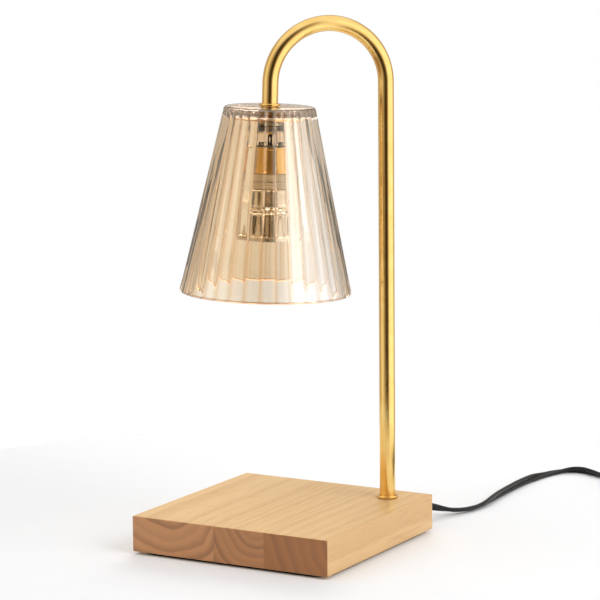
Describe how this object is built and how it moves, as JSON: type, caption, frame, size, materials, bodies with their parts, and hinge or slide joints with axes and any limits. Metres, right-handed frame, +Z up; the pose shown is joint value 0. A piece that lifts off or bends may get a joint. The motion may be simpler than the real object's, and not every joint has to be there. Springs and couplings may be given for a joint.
{
  "type": "candle warmer lamp",
  "caption": "Candle warmer lamp: a ribbed amber glass shade over a spot bulb hangs from a bent brass tube above a square laminated wood base, with a dimmer on its cord.",
  "frame": {"origin": "middle of the square base's footprint, on the table", "axes": "+Z up. The base's sides lie along X and Y. The stem stands near the corner at +X +Y and arches diagonally over the base. The cord leaves the side at +Y."},
  "size_m": [0.3233, 0.3432, 0.3345],
  "materials": {
    "honey_wood": "laminated rubberwood under a glossy clear varnish",
    "brass": "satin",
    "amber_glass": "pressed, glossy, pale amber",
    "black_rubber": "smooth soft black",
    "black_plastic": "fine matt",
    "clear_silicone": "translucent silicone",
    "zinc_steel": "zinc plated",
    "chrome": "bright nickel plated",
    "ceramic": "unglazed lamp-holder ceramic",
    "mirror_coat": "faceted mirror coat on pressed glass",
    "clear_glass": "clear, glossy",
    "green_board": "coated circuit board"
  },
  "bodies": {
    "lamp": {"base_block": "honey_wood", "anti_slip_pad": "black_rubber", "pocket_cover": "black_plastic", "cover_screw_1": "zinc_steel", "cover_screw_2": "zinc_steel", "cover_screw_3": "zinc_steel", "cover_screw_4": "zinc_steel", "stem_tube": "brass", "base_collar": "brass", "base_washer": "zinc_steel", "base_nut": "zinc_steel", "wire_live": "black_plastic", "wire_neutral": "black_plastic", "shade_collar": "brass", "shade_glass": "amber_glass", "shade_gasket": "clear_silicone", "shade_plate": "brass", "shade_nut": "zinc_steel", "holder_bracket": "chrome", "bracket_nut": "zinc_steel", "holder_screw_1": "zinc_steel", "holder_screw_2": "zinc_steel", "ceramic_holder": "ceramic", "holder_sleeve": "brass", "contact_1": "brass", "contact_2": "brass", "cord_relief": "black_rubber", "cord_lead": "black_rubber", "cord_link": "black_rubber", "cord_coil": "black_rubber", "cord_tail": "black_rubber", "cord_tie": "black_rubber", "dimmer_top": "black_plastic", "dimmer_bottom": "black_plastic", "dimmer_board": "green_board", "dimmer_pot": "black_plastic", "dimmer_screw_1": "zinc_steel", "dimmer_screw_2": "zinc_steel", "plug_body": "black_rubber", "plug_blade_1": "chrome", "plug_blade_2": "chrome"},
    "bulb": {"bulb_base": "ceramic", "bulb_pin_1": "chrome", "bulb_pin_2": "chrome", "bulb_reflector": "mirror_coat", "bulb_lens": "clear_glass", "bulb_capsule": "clear_glass"},
    "dimmer_wheel": {"dimmer_wheel": "black_plastic"}
  },
  "joints": [
    {"name": "bulb_twist", "type": "hinge", "parent": "lamp", "child": "bulb", "pos_m": [-0.00646, -0.00646, 0.2145], "axis": [-0.0247, -0.0247, -0.9994], "range_deg": [0, 45]},
    {"name": "dimmer_turn", "type": "hinge", "parent": "lamp", "child": "dimmer_wheel", "pos_m": [0.16474, 0.24713, 0.0085], "axis": [0, 0, 1], "range_deg": [0, 270]}
  ]
}
